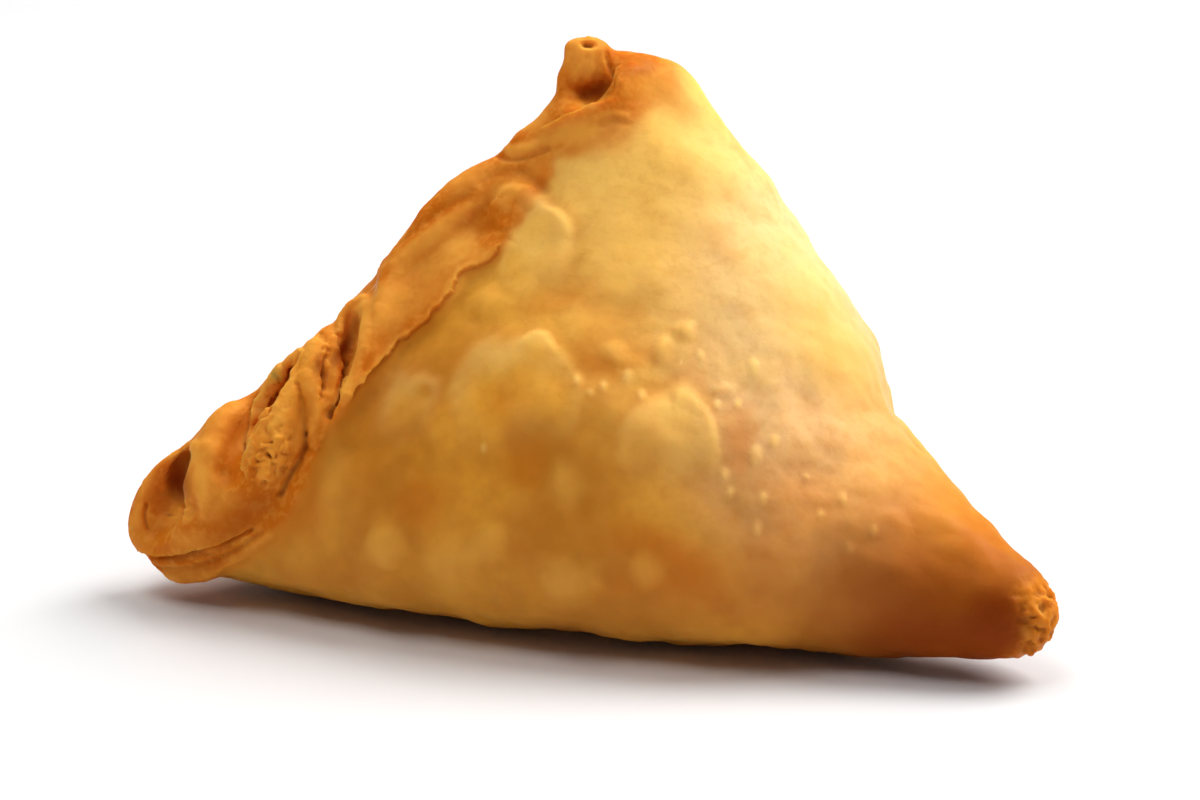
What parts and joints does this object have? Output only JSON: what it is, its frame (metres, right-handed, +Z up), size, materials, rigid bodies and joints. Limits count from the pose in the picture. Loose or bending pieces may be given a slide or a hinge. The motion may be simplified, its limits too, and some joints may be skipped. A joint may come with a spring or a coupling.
{
  "type": "samosa",
  "caption": "Whole fried samosa lying on one broad side: a swollen three-sided cone of golden dough with a drawn-out tip and a pleated, rope-like seam up to its peak.",
  "frame": {"origin": "middle of the box's base, on the surface that the pastry lies on", "axes": "+X towards the drawn-out closed tip of the cone, -Y towards the broad side that shows, +Z up; the pleated seam climbs from the low corner at -X to the peak"},
  "size_m": [0.104, 0.058, 0.0611],
  "materials": {
    "fried_crust": "golden-brown fried wheat dough, blistered, with a thin film of oil"
  },
  "bodies": {
    "root": {"samosa": "fried_crust"}
  },
  "joints": []
}
